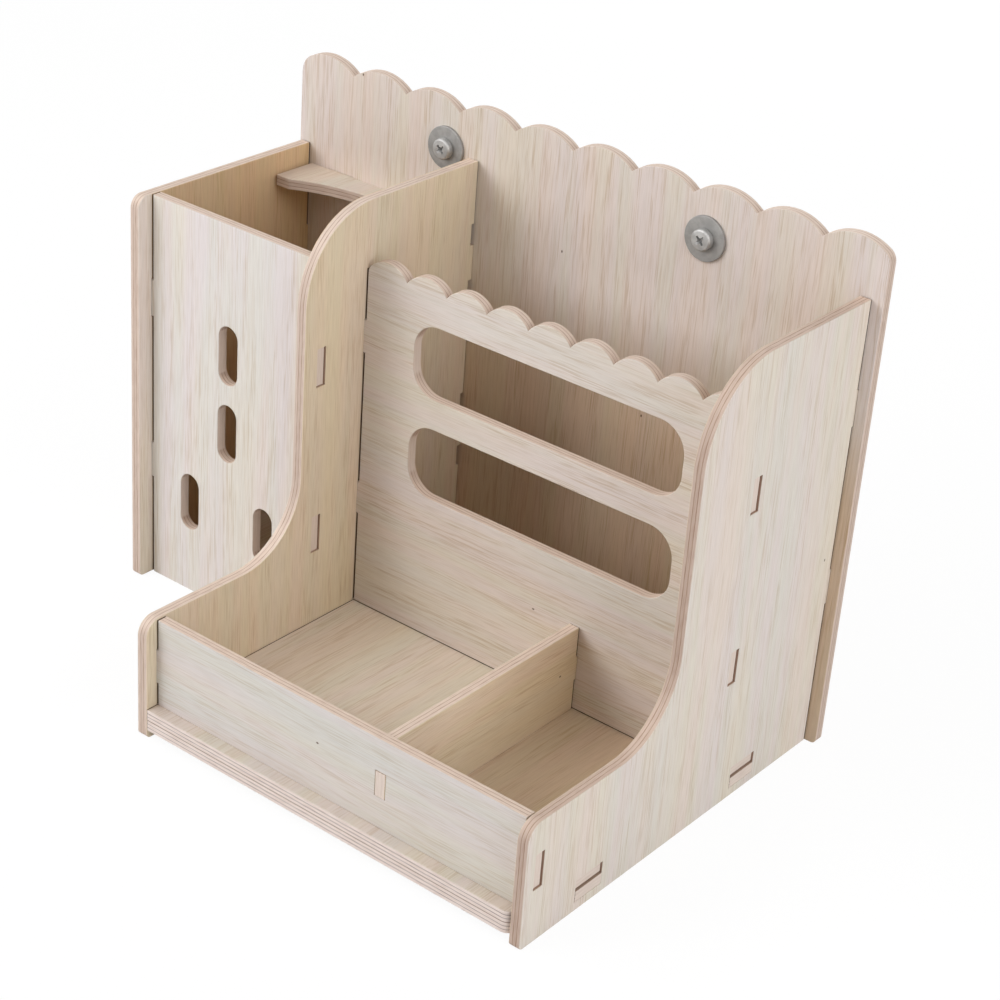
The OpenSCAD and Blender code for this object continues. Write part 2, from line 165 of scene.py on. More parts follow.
# Square lamps: place, side and power in watts
LAMP_AIM = (0, 0, 0.1)
LAMPS = {
    "key": ((-0.71, -1.44, 0.92), 0.9, 8.9),
    "left_front": ((-1.2, -1.2, 0.9), 1.4, 15.4),
    "left_high": ((-1.2, -0.3, 1.4), 1.4, 6.0),
    "top": ((0.2, -0.7, 1.8), 1.4, 5.6),
    "right": ((1.6, -0.2, 0.85), 1.8, 23.0),
    "rear": ((-0.4, 1.7, 0.7), 1.4, 16.0),
}


def colour(red, green, blue):
    """Linear colour, with alpha, of an sRGB colour from 0 to 255."""
    return [((c / 255 + 0.055) / 1.055) ** 2.4 for c in (red, green, blue)] + [1.0]


class Graph:
    """Short ways to add nodes to one material and to link them."""

    def __init__(self, name):
        self.material = bpy.data.materials.new(name)
        self.material.use_nodes = True
        self.tree = self.material.node_tree
        self.shader = self.tree.nodes["Principled BSDF"]

    def plug(self, socket, value):
        if isinstance(value, bpy.types.NodeSocket):
            self.tree.links.new(value, socket)
        else:
            socket.default_value = value

    def add(self, kind, inputs, output=0, **settings):
        made = self.tree.nodes.new(kind)
        for key, value in settings.items():
            setattr(made, key, value)
        for key, value in inputs.items():
            self.plug(made.inputs[key], value)
        return made.outputs[output]

    def math(self, operation, *values):
        return self.add("ShaderNodeMath", dict(enumerate(values)), operation=operation)

    def object_coordinates(self):
        return self.add("ShaderNodeTexCoord", {}, output="Object")

    def split(self, vector):
        made = self.tree.nodes.new("ShaderNodeSeparateXYZ")
        self.plug(made.inputs[0], vector)
        return list(made.outputs)

    def join(self, x, y, z):
        return self.add("ShaderNodeCombineXYZ", {0: x, 1: y, 2: z})

    def noise(self, vector, detail=2.0, roughness=0.5, scale=1.0):
        inputs = {"Vector": vector, "Scale": scale, "Detail": detail, "Roughness": roughness}
        return self.add("ShaderNodeTexNoise", inputs)

    def between(self, value, low, high):
        """Runs smoothly from 0 at low to 1 at high."""
        inputs = {"Value": value, "From Min": low, "From Max": high}
        return self.add("ShaderNodeMapRange", inputs, interpolation_type="SMOOTHSTEP")

    def mix(self, share, first, second, blend="MIX"):
        made = self.tree.nodes.new("ShaderNodeMix")
        made.data_type = "RGBA"
        made.blend_type = blend
        self.plug(made.inputs[0], share)
        self.plug(made.inputs[6], first)
        self.plug(made.inputs[7], second)
        return made.outputs[2]

    def tinted(self, share, first, tint):
        """The first colour, multiplied by the tint in that share."""
        return self.mix(share, first, self.mix(1.0, first, tint, "MULTIPLY"))

    def bump(self, height, strength, distance):
        inputs = {"Height": height, "Strength": strength, "Distance": distance}
        return self.add("ShaderNodeBump", inputs, output="Normal")

    def finish(self, **inputs):
        for key, value in inputs.items():
            self.plug(self.shader.inputs[key.replace("_", " ")], value)
        return self.material


# Patterns of the veneer: size across and along the grain in millimetres, and place in the noise
WAVE = (60.0, 150.0, 3.1)
ZONES = (16.0, 200.0, 0.0)
HUES = (9.0, 160.0, 5.3)
BUNDLES = (4.5, 120.0, 1.7)
STREAKS = (0.55, 22.0, 4.1)
FIBRES = (0.42, 10.0, 2.9)
WAVE_DEPTH_MM = 6.0
# Shifts of all the patterns from one board to the next
SHIFT_ACROSS_MM = 173.0
SHIFT_ALONG_MM = 311.0
SHIFT_IN_NOISE = 7.3
# Face veneer: soft zones that leave the board's own colour a little, with fine straight streaks
ZONE_GREY = (0.985, 1.0, 1.025, 1.0)
ZONE_WARM = (1.015, 1.0, 0.965, 1.0)
ZONE_GREEN = (0.985, 1.01, 0.97, 1.0)
ZONE_PINK = (1.01, 0.99, 0.995, 1.0)
STREAK = (0.74, 0.64, 0.51, 1.0)
SPECK = colour(96, 76, 60)
# Painted shade: darker, warmer tints of the faces that look into the feeder and of a floor's corner, and a
# greyer tint of the ledge before the trough
INWARD_PAINTED_SHADE = (0.98, 0.89, 0.74, 1.0)
BOX_PAINTED_SHADE = (1.0, 0.84, 0.61, 1.0)
TROUGH_PAINTED_SHADE = (1.0, 0.96, 0.85, 1.0)
RACK_PAINTED_SHADE = (0.88, 0.77, 0.62, 1.0)
CORNER_PAINTED_SHADE = (0.84, 0.77, 0.69, 1.0)
LEDGE_PAINTED_SHADE = (0.82, 0.84, 0.90, 1.0)
# Depths below the hay panel's top at which the rack's painted shade begins and is full
RACK_FADE_MM = (10, 70)
# Painted shade: dark seams between boards, and darker walls of the slots for the tabs
SEAM_PAINTED_SHADE = (0.20, 0.16, 0.13, 1.0)
SLOT_WALL_PAINTED_SHADE = (0.66, 0.56, 0.50, 1.0)
TAB_SIDE_PAINTED_SHADE = (0.46, 0.36, 0.31, 1.0)
# How far past the other board they reach, across its thickness and along it
SEAM_REACH_MM = (-0.15, -0.15)
TAB_SIDE_REACH_MM = (1.2, 1.2)
SLOT_REACH_MM = (0.5, -4.0)
# Depths below the face at which its veneer gives way to the cut edge
VENEER_END_MM = (0.12, 0.32)
# Cut edges: three plies with a thin dark glue line on each side of the middle one
EDGE_OUTER = colour(210, 191, 178)
EDGE_MIDDLE = colour(203, 183, 169)
EDGE_PALE = colour(230, 216, 209)
# Painted light: cut edges that face up are paler, as if lit from above
EDGE_PAINTED_TOP_LIGHT = colour(229, 210, 195)
EDGE_GRAIN = (0.74, 0.66, 0.62, 1.0)
TAB_END = colour(223, 208, 197)
GLUE = (0.60, 0.47, 0.40, 1.0)
GLUE_PALE = (0.30, 0.25, 0.24, 1.0)
GLUE_HALF_MM = 0.17
GLUE_WAVE_MM = 0.2
# Size of the fine lines on a cut edge, through the board and along it
EDGE_LINE_MM = 0.45
EDGE_RUN_MM = 6.0
# Small dark specks in the veneer
SPECK_SPACING_MM = 55.0
SPECK_R_MM = 0.4
SPECK_SHARE = 0.25
# Zinc plating of the washers and nuts, and of the screws
ZINC = (162, 160, 157)
ZINC_ROUGHNESS = 0.54
BRIGHT_ZINC = (184, 183, 181)
BRIGHT_ROUGHNESS = 0.44
ZINC_GRAIN = (150, 152, 156)
METAL_SHARE = 0.7


def plywood(node, through, grain, tabs, veneer, figure, seed):
    """Material of one board, whose pattern follows its own thickness and grain."""
    low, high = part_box(node)
    middle = (low + high) / 2
    axis = AXES[through]
    half_mm = (high - low)[axis] / 2 / MM
    across = next(a for a in AXES if a not in (through, grain))
    graph = Graph("plywood_" + node)
    place = graph.split(graph.object_coordinates())

    depth = graph.math("ABSOLUTE", in_mm(graph, place[axis], -middle[axis] / MM))
    spread = grain_spread(graph, place[AXES[across]], place[AXES[grain]], seed)
    streaks = pattern(graph, spread, STREAKS, detail=2.0, roughness=0.68)
    fibres = pattern(graph, spread, FIBRES, detail=1.0)
    face = face_colour(graph, spread, streaks, fibres, veneer, figure)
    face = graph.mix(specks(graph, spread, seed), face, SPECK)
    # Painted shade on the faces inside the box, rack and trough, and on parts of the floor board
    face = inner_painted_shade(graph, face, node, axis, place, middle)
    edge, glue = cut_edge(graph, node, axis, tabs, place, depth, half_mm)
    # Painted shade in the seams and on the walls of the slots
    face, edge = painted_joint_shades(graph, face, edge, place, node, axis)
    is_edge = graph.between(depth, *[half_mm - end for end in VENEER_END_MM])

    height = graph.math("MULTIPLY_ADD", streaks, -0.5, graph.math("MULTIPLY", fibres, 0.5))
    height = graph.math("SUBTRACT", height, graph.math("MULTIPLY", glue, is_edge))
    return graph.finish(
        Base_Color=graph.mix(is_edge, face, edge),
        Roughness=graph.math("MULTIPLY_ADD", fibres, 0.25, 0.48),
        Normal=graph.bump(height, 0.25, 0.05 * MM),
        Specular_IOR_Level=0.2,
    )


def in_mm(graph, coordinate, shift_mm):
    """A coordinate in metres as millimetres, shifted."""
    return graph.math("MULTIPLY_ADD", coordinate, 1 / MM, shift_mm)


def grain_spread(graph, across, along, seed):
    """Place across the slightly wavy grain and along it, and the board's own shift in the noise."""
    width = in_mm(graph, across, SHIFT_ACROSS_MM * seed)
    length = in_mm(graph, along, SHIFT_ALONG_MM * seed)
    shift = SHIFT_IN_NOISE * seed
    wave = pattern(graph, (width, length, shift), WAVE)
    return graph.math("MULTIPLY_ADD", wave, WAVE_DEPTH_MM, width), length, shift


def pattern(graph, spread, layer, **options):
    """Noise with the size and the place of one of the veneer's patterns."""
    width, length, shift = spread
    across_mm, along_mm, place = layer
    w = graph.math("MULTIPLY", width, 1 / across_mm)
    l = graph.math("MULTIPLY", length, 1 / along_mm)
    return graph.noise(graph.join(w, l, shift + place), **options)


def face_colour(graph, spread, streaks, fibres, veneer, figure):
    """Pale ground with soft zones under bundles of fine brown streaks."""
    zones = pattern(graph, spread, ZONES, detail=1.0)
    hues = pattern(graph, spread, HUES, detail=1.0)
    bundles = pattern(graph, spread, BUNDLES, detail=1.0)
    ground = [c * (1 + 0.18 * figure * (1 - dark)) for c, dark in zip(colour(*veneer), STREAK)]
    zone = graph.mix(graph.between(zones, 0.3, 0.7), ZONE_GREY, ZONE_WARM)
    face = graph.mix(1.0, ground[:3] + [1.0], zone, "MULTIPLY")
    hue = graph.mix(graph.between(hues, 0.35, 0.65), ZONE_GREEN, ZONE_PINK)
    face = graph.mix(1.0, face, hue, "MULTIPLY")
    tone = graph.math("MULTIPLY_ADD", fibres, -0.16, 1.08)
    face = graph.mix(1.0, face, graph.join(tone, tone, tone), "MULTIPLY")
    dense = graph.math("MULTIPLY_ADD", graph.between(bundles, 0.36, 0.64), 0.65, 0.35)
    streak = graph.math("MULTIPLY", graph.between(streaks, 0.44, 0.68), dense)
    return graph.tinted(graph.math("MULTIPLY", streak, 0.7 * figure), face, STREAK)


def inner_painted_shade(graph, face, node, through, place, middle):
    """Paints shade on the faces that look into the box, the rack and the trough, and on parts of the floor
    board.
    """
    if node in INWARD:
        return inward_painted_shade(graph, face, node, through, place, middle)
    if node == "back_panel":
        return rack_painted_shade(graph, face, place, middle)
    if node == "floor_board":
        return floor_painted_shade(graph, face, place)
    return face


def rack_painted_shade(graph, face, place, middle):
    """Front of the back panel, with painted shade, darker and warmer, down in the rack and in the box."""
    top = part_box("hay_panel")[1].z
    begin, full = (top - depth * MM for depth in RACK_FADE_MM)
    inside = graph.math("LESS_THAN", place[1], middle[1])
    inside = graph.math("MULTIPLY", inside, graph.between(place[2], begin, full))
    return graph.tinted(inside, face, RACK_PAINTED_SHADE)


def floor_painted_shade(graph, face, place):
    """Painted shade on the floor of the small food compartment, and on the ledge before the trough."""
    front, inner = (corner.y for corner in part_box("trough_front_board"))
    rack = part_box("hay_panel")[0].y
    small = graph.math("GREATER_THAN", place[0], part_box("food_divider")[1].x)
    small = graph.math("MULTIPLY", small, graph.math("GREATER_THAN", place[1], inner))
    small = graph.math("MULTIPLY", small, graph.math("LESS_THAN", place[1], rack))
    # Painted shade on the floor of the small food compartment
    face = graph.tinted(small, face, CORNER_PAINTED_SHADE)
    # Painted shade, greyer, on the ledge before the trough
    return graph.tinted(graph.math("LESS_THAN", place[1], front), face, LEDGE_PAINTED_SHADE)


def inward_painted_shade(graph, face, node, through, place, middle):
    """Painted shade, warmer and darker, on the inner face of a board. The box's two sides are tinted as far
    as the box reaches.
    """
    side = INWARD[node]
    away = graph.math("MULTIPLY_ADD", place[through], side, -side * middle[through])
    inside = graph.math("GREATER_THAN", away, 0.0)
    tint = INWARD_PAINTED_SHADE
    if node == "middle_side_panel":
        # Painted shade on the middle side's face that looks into the trough
        face = graph.tinted(graph.math("SUBTRACT", 1.0, inside), face, TROUGH_PAINTED_SHADE)
    if node in ("box_side_panel", "middle_side_panel"):
        behind = graph.math("GREATER_THAN", place[1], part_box("box_front_panel")[0].y)
        inside = graph.math("MULTIPLY", inside, behind)
        tint = BOX_PAINTED_SHADE
    return graph.tinted(inside, face, tint)


def painted_joint_shades(graph, face, edge, place, node, through):
    """Face and edge, with painted shade where another board meets the face or passes through the edge's
    slot.
    """
    for other in JOINTS.get(node, ()):
        reach, tint = (TAB_SIDE_REACH_MM, TAB_SIDE_PAINTED_SHADE) if node == "base_board" else (SEAM_REACH_MM, SEAM_PAINTED_SHADE)
        covered = joint_zone(graph, place, other, through, reach)
        looks_in = faces_other(graph, place, node, other, through)
        face = graph.tinted(graph.math("MULTIPLY", covered, looks_in), face, tint)
        slots = joint_zone(graph, place, other, through, SLOT_REACH_MM)
        edge = graph.tinted(slots, edge, SLOT_WALL_PAINTED_SHADE)
    return face, edge


def joint_zone(graph, place, other, through, reach_mm):
    """1 where the other board meets this one, with the reach across its thickness and along it."""
    thick_mm, long_mm = reach_mm
    low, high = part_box(other)
    if other == "hay_panel":
        high.z -= HAY_RISE
    zone = 1.0
    for axis in range(3):
        if axis != through:
            margin = (thick_mm if axis == AXES[BOARDS[other][0]] else long_mm) * MM
            for end, way in ((low[axis] - margin, 1), (high[axis] + margin, -1)):
                soft = way * 0.1 * MM
                near = graph.between(place[axis], end - soft, end + soft)
                zone = graph.math("MULTIPLY", zone, near)
    return zone


def faces_other(graph, place, node, other, through):
    """1 on the side of this board that looks to the other one."""
    own = sum(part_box(node), Vector())[through] / 2
    side = 1 if sum(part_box(other), Vector())[through] / 2 > own else -1
    away = graph.math("MULTIPLY_ADD", place[through], side, -side * own)
    return graph.math("GREATER_THAN", away, 0.0)


def specks(graph, spread, seed):
    """A few small dark specks, slightly drawn out along the grain."""
    width, length, _ = spread
    w = graph.math("MULTIPLY", width, 1 / SPECK_SPACING_MM)
    l = graph.math("MULTIPLY", length, 0.6 / SPECK_SPACING_MM)
    cells = graph.tree.nodes.new("ShaderNodeTexVoronoi")
    graph.plug(cells.inputs["Vector"], graph.join(w, l, seed * 3.7))
    cells.inputs["Scale"].default_value = 1.0
    cells.voronoi_dimensions = "2D"
    near = graph.math("MULTIPLY", cells.outputs["Distance"], SPECK_SPACING_MM)
    chosen = graph.math("LESS_THAN", graph.split(cells.outputs["Color"])[0], SPECK_SHARE)
    return graph.math("MULTIPLY", chosen, graph.between(near, SPECK_R_MM * 1.3, SPECK_R_MM * 0.5))


def cut_edge(graph, node, through, tabs, place, depth, half_mm):
    """Colour of a board's cut edge, and its share of glue."""
    normal = graph.split(graph.add("ShaderNodeTexCoord", {}, output="Normal"))
    tab_end = 0.0
    if tabs:
        tab_end = graph.between(graph.math("ABSOLUTE", normal[AXES[tabs]]), 0.9, 0.97)
    glue = glue_lines(graph, depth, half_mm / 3)
    glue = graph.math("MULTIPLY", glue, graph.math("MULTIPLY_ADD", tab_end, -0.85, 1.0))
    is_inner = graph.math("LESS_THAN", depth, half_mm / 3)
    cut = cut_lines(graph, place, through)
    edge = edge_colour(graph, is_inner, glue, node in PALE_EDGED, tab_end, normal[2], cut)
    if node in DARK_EDGED:
        edge = graph.mix(1.0, edge, DARK_EDGED[node], "MULTIPLY")
    return edge, glue


def glue_lines(graph, depth, line_mm):
    """Share of glue: 1 on the two slightly wavy lines between the plies."""
    rough = graph.noise(graph.object_coordinates(), detail=3.0, scale=260.0)
    wavy = graph.math("MULTIPLY_ADD", rough, GLUE_WAVE_MM, line_mm - GLUE_WAVE_MM / 2)
    away = graph.math("ABSOLUTE", graph.math("SUBTRACT", depth, wavy))
    return graph.between(away, GLUE_HALF_MM * 1.5, GLUE_HALF_MM * 0.5)


def cut_lines(graph, place, through):
    """Fine lines on a cut edge, which run along the board's faces."""
    layers = [graph.math("MULTIPLY", p, 1 / EDGE_RUN_MM / MM) for p in place]
    layers[through] = graph.math("MULTIPLY", place[through], 1 / EDGE_LINE_MM / MM)
    return graph.noise(graph.join(*layers), detail=2.0)


def edge_colour(graph, is_inner, glue, pale, tab_end, upward, cut):
    """Plies seen from the side, finely lined, with the glue lines between them, and painted light where the
    edge faces up.
    """
    edge = EDGE_PALE if pale else graph.mix(is_inner, EDGE_OUTER, EDGE_MIDDLE)
    # Painted light: paler where the edge faces up
    edge = graph.mix(graph.between(upward, 0.2, 0.9), edge, EDGE_PAINTED_TOP_LIGHT)
    edge = graph.mix(tab_end, edge, TAB_END)
    strength = graph.math("MULTIPLY_ADD", tab_end, -0.3, 0.5)
    lines = graph.math("MULTIPLY", graph.between(cut, 0.42, 0.72), strength)
    edge = graph.tinted(lines, edge, EDGE_GRAIN)
    line = graph.math("MULTIPLY", glue, graph.math("MULTIPLY_ADD", cut, 0.7, 0.4))
    return graph.tinted(line, edge, GLUE_PALE if pale else GLUE)


def plated_steel(name, shade, roughness):
    """Dull zinc plating with soft clouds and a faint crystalline grain."""
    graph = Graph(name)
    place = graph.object_coordinates()
    cloud = graph.noise(place, detail=3.0, scale=420.0)
    grain = graph.noise(place, detail=1.0, scale=3200.0)
    tone = graph.mix(graph.between(cloud, 0.3, 0.7), colour(*[c * 0.9 for c in shade]), colour(*shade))
    return graph.finish(
        Base_Color=graph.mix(graph.math("MULTIPLY", grain, 0.2), tone, colour(*ZINC_GRAIN)),
        Roughness=graph.math("MULTIPLY_ADD", cloud, 0.18, roughness),
        Normal=graph.bump(grain, 0.12, 0.02 * MM),
        Metallic=METAL_SHARE,
    )


def new_piece(name, mesh, material, node):
    """A piece that stands for a node, on that node's body."""
    piece = bpy.data.objects.new(name, mesh)
    bpy.context.scene.collection.objects.link(piece)
    mesh.materials.clear()
    mesh.materials.append(material)
    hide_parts(node)
    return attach(piece, frame["nodes"][node]["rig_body"])


def smooth(mesh):
    mesh.shade_smooth()
    mesh.set_sharp_from_angle(angle=SMOOTH_BELOW)


def ease(bm, rims, offset, segments):
    """Rounds these edges off."""
    bmesh.ops.bevel(
        bm, geom=rims, offset=offset, segments=segments, profile=0.5, affect="EDGES", clamp_overlap=True
    )


def board_mesh(node, through):
    """The board's solid with the edges round its two faces eased."""
    bm = bmesh.new()
    bm.from_mesh(frame["nodes"][node].data)
    bmesh.ops.remove_doubles(bm, verts=bm.verts, dist=0.001 * MM)
    bmesh.ops.dissolve_limit(bm, angle_limit=math.radians(0.2), verts=bm.verts, edges=bm.edges)
    axis = AXES[through]
    rims = []
    for e in bm.edges:
        if len(e.link_faces) != 2:
            continue
        on_face = [abs(f.normal[axis]) > 0.99 for f in e.link_faces]
        if on_face[0] != on_face[1]:
            rims.append(e)
    ease(bm, rims, EASED_EDGE, 2)
    mesh = bpy.data.meshes.new(node + "_finish")
    bm.to_mesh(mesh)
    bm.free()
    smooth(mesh)
    for face in mesh.polygons:
        face.use_smooth = abs(face.normal[axis]) < 0.999 and face.area < FACET_LIMIT
    return mesh


def make_boards():
    for seed, (node, look) in enumerate(BOARDS.items(), start=1):
        material = plywood(node, *look, seed)
        new_piece(node + "_finish", board_mesh(node, look[0]), material, node)


def arc(centre, radius, start, end, steps=ROUND_STEPS):
    """Points of an arc, with its angles in degrees."""
    turns = [math.radians(start + (end - start) * i / steps) for i in range(steps + 1)]
    return [(centre[0] + radius * math.cos(t), centre[1] + radius * math.sin(t)) for t in turns]


def lathe(profile):
    """Closed solid of a profile of (radius, height) points turned about z, in millimetres."""
    bm = bmesh.new()
    rings = []
    for i in range(LATHE_STEPS):
        turn = 2 * math.pi * i / LATHE_STEPS
        rings.append([bm.verts.new((r * math.cos(turn), r * math.sin(turn), h)) for r, h in profile])
    for i, ring in enumerate(rings):
        after = rings[(i + 1) % LATHE_STEPS]
        for j in range(len(profile)):
            k = (j + 1) % len(profile)
            bm.faces.new((ring[j], ring[k], after[k], after[j]))
    return closed(bm)


def closed(bm):
    """Joins doubled points, drops empty faces and turns all the faces outward."""
    bmesh.ops.remove_doubles(bm, verts=bm.verts, dist=0.001)
    bmesh.ops.dissolve_degenerate(bm, dist=0.0005, edges=bm.edges)
    bmesh.ops.recalc_face_normals(bm, faces=bm.faces)
    return bm


def prism(low_outline, high_outline, low, high):
    """Solid between two outlines of the same number of points at two heights."""
    bm = bmesh.new()
    bottom = [bm.verts.new((x, y, low)) for x, y in low_outline]
    top = [bm.verts.new((x, y, high)) for x, y in high_outline]
    bm.faces.new(bottom)
    bm.faces.new(top)
    for i in range(len(bottom)):
        j = (i + 1) % len(bottom)
        bm.faces.new((bottom[i], bottom[j], top[j], top[i]))
    return closed(bm)


def worked(bm, *steps):
    """The shape after a list of modifiers, each a kind and its settings. Uses the given shape up."""
    mesh = bpy.data.meshes.new("worked")
    bm.to_mesh(mesh)
    bm.free()
    holder = bpy.data.objects.new("worked", mesh)
    bpy.context.scene.collection.objects.link(holder)
    for kind, settings in steps:
        step = holder.modifiers.new(kind, kind)
        for key, value in settings.items():
            setattr(step, key, value)
    done = holder.evaluated_get(bpy.context.evaluated_depsgraph_get())
    result = bmesh.new()
    result.from_mesh(done.to_mesh())
    done.to_mesh_clear()
    bpy.data.objects.remove(holder)
    bpy.data.meshes.remove(mesh)
    return result


def combined(bm, tool, operation):
    """The first shape united with, or cut by, the second. Uses both up."""
    mesh = bpy.data.meshes.new("tool")
    tool.to_mesh(mesh)
    tool.free()
    cutter = bpy.data.objects.new("tool", mesh)
    bpy.context.scene.collection.objects.link(cutter)
    result = worked(bm, ("BOOLEAN", {"operation": operation, "object": cutter, "solver": "EXACT"}))
    bpy.data.objects.remove(cutter)
    bpy.data.meshes.remove(mesh)
    return result


def pan_head():
    """Rounded screw head below z = 0, with a tapered cross recess."""
    sweep = 70
    edge = HEAD_R - HEAD_ROUND
    side = -(HEAD_H - DOME_H - HEAD_ROUND * math.sin(math.radians(sweep)))
    curve = [(edge + HEAD_ROUND * c, side - HEAD_ROUND * s) for c, s in arc((0, 0), 1, 0, sweep)]
    last = curve[-1][0]
    dome = []
    for i in range(1, ROUND_STEPS + 1):
        r = last * (1 - i / ROUND_STEPS)
        dome.append((r, -HEAD_H + DOME_H * (r / last) ** 2))
    head = lathe([(0, 0), (HEAD_R - 0.3, 0), (HEAD_R, -0.3)] + curve + dome)
    return combined(head, cross(), "DIFFERENCE")


def cross():
    """Tool that cuts the recess."""
    arms = []
    half = RECESS_WIDTH / 2
    reach = RECESS_LENGTH / 2
    for k in range(4):
        turn = Matrix.Rotation(math.radians(45 + 90 * k), 2)
        for x, y in ((reach, -half), (reach, half), (half * 2, half), (half, half * 2)):
            arms.append(tuple(turn @ Vector((x, y))))
    deep = [(x * RECESS_TAPER, y * RECESS_TAPER) for x, y in arms]
    return prism(deep, arms, -HEAD_H + RECESS_DEPTH, -HEAD_H)


def threaded_shank():
    """Right-handed thread along z from the head to a chamfered tip."""
    bm = bmesh.new()
    around = 32
    steps = len(THREAD_PROFILE)
    rows = (math.ceil(BOLT_LENGTH / THREAD_PITCH) + 2) * steps
    grid = []
    for i in range(around):
        turn = 2 * math.pi * i / around
        column = []
        for j in range(rows):
            place, rise = THREAD_PROFILE[j % steps]
            z = THREAD_PITCH * (j // steps - 1 + place + i / around)
            z = min(max(z, 0.0), BOLT_LENGTH)
            from_end = min(z, BOLT_LENGTH - z)
            r = THREAD_ROOT_R + (THREAD_R - THREAD_ROOT_R) * rise
            r = min(r, THREAD_R - TIP_CHAMFER + from_end)
            column.append(bm.verts.new((r * math.cos(turn), r * math.sin(turn), z)))
        grid.append(column)
    for i in range(around):
        after = (i + 1) % around
        skip = steps if after == 0 else 0
        for j in range(rows - 1 - skip):
            bm.faces.new((grid[i][j], grid[after][j + skip], grid[after][j + 1 + skip], grid[i][j + 1]))
    bmesh.ops.remove_doubles(bm, verts=bm.verts, dist=0.001)
    bmesh.ops.dissolve_degenerate(bm, dist=0.0005, edges=bm.edges)
    bmesh.ops.holes_fill(bm, edges=[e for e in bm.edges if len(e.link_faces) == 1])
    bmesh.ops.recalc_face_normals(bm, faces=bm.faces)
    return bm


def washer():
    """Stamped washer from z = 0 to its thickness, rounded on the side of z = 0 and crisp on the other."""
    soft, crisp = 0.3, 0.1
    outer = arc((WASHER_R - soft, soft), soft, -90, 0)
    far = [(WASHER_R, WASHER_T - crisp), (WASHER_R - crisp, WASHER_T)]
    bore = [(HOLE_R + crisp, WASHER_T), (HOLE_R, WASHER_T - crisp)]
    inner = arc((HOLE_R + soft, soft), soft, 180, 270)
    return lathe(outer + far + bore + inner)


def tangent_point(point, centre, radius, side):
    """Point where the line from the point touches the circle, on its side 1 or -1."""
    away = Vector(point) - Vector(centre)
    turn = math.atan2(away.y, away.x) + side * math.acos(radius / away.length)
    return Vector(centre) + radius * Vector((math.cos(turn), math.sin(turn)))


def wing(side):
    """One upswept wing, with its outline in the xz plane."""
    tip = Vector((WING_SPAN / 2 - WING_TIP_R, WING_H - WING_TIP_R))
    low = Vector((NUT_R - WING_ROOT, 0))
    high = Vector((NUT_R - WING_ROOT, NUT_H))
    first = tangent_point(low, tip, WING_TIP_R, 1) - tip
    last = tangent_point(high, tip, WING_TIP_R, -1) - tip
    start = math.degrees(math.atan2(first.y, first.x))
    end = math.degrees(math.atan2(last.y, last.x))
    while end < start:
        end += 360
    outline = [tuple(low)] + arc(tip, WING_TIP_R, start, end, 24) + [tuple(high)]
    half = WING_T / 2
    bm = prism(outline, outline, -half, half)
    rims = [e for e in bm.edges if abs(e.verts[0].co.z - e.verts[1].co.z) < 0.1]
    ease(bm, rims, WING_EASE, 3)
    bm.transform(Matrix(((side, 0, 0, 0), (0, 0, -side, 0), (0, 1, 0, 0), (0, 0, 0, 1))))
    return bm


def wing_nut():
    """Cast wing nut standing on z = 0: boss and wings run into each other."""
    foot, top_h, top_r = 0.4, 0.5, 0.6
    boss = lathe([
        (0, 0), (NUT_R - foot, 0), (NUT_R, foot),
        (NUT_TOP_R, NUT_H - top_h), (NUT_TOP_R - top_r, NUT_H), (0, NUT_H),
    ])
    nut = combined(combined(boss, wing(1), "UNION"), wing(-1), "UNION")
    nut = worked(
        nut,
        ("REMESH", {"mode": "VOXEL", "voxel_size": NUT_VOXEL}),
        ("SMOOTH", {"factor": 0.5, "iterations": 6}),
    )
    for v in nut.verts:
        v.co.z = max(v.co.z, 0.0)
    mouth = 0.45
    bore = lathe([
        (0, -1), (NUT_BORE_R + mouth + 1, -1), (NUT_BORE_R, mouth),
        (NUT_BORE_R, NUT_H - mouth), (NUT_BORE_R + mouth + 1, NUT_H + 1), (0, NUT_H + 1),
    ])
    return combined(nut, bore, "DIFFERENCE")


def make_hardware():
    zinc = plated_steel("zinc_plate", ZINC, ZINC_ROUGHNESS)
    bright = plated_steel("bright_zinc_plate", BRIGHT_ZINC, BRIGHT_ROUGHNESS)
    for side in ("left", "right"):
        low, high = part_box(side + "_bolt")
        axis = (low + high) / 2
        screw = combined(threaded_shank(), pan_head(), "UNION")
        place_part(screw, side + "_bolt", axis, low.y + HEAD_H * MM, bright)
        for node, make in (("_front_washer", washer), ("_rear_washer", washer), ("_wing_nut", wing_nut)):
            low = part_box(side + node)[0]
            place_part(make(), side + node, axis, low.y, zinc)


def place_part(bm, node, axis, start, material):
    """Stands a turned part, made in millimetres along z, on the bolt's axis with its z = 0 at y = start."""
    to_y = Matrix(((1, 0, 0, 0), (0, 0, 1, 0), (0, -1, 0, 0), (0, 0, 0, 1)))
    bm.transform(Matrix.Translation((axis.x, start, axis.z)) @ to_y @ Matrix.Scale(MM, 4))
    mesh = bpy.data.meshes.new(node + "_finish")
    bm.to_mesh(mesh)
    bm.free()
    smooth(mesh)
    new_piece(node + "_finish", mesh, material, node)


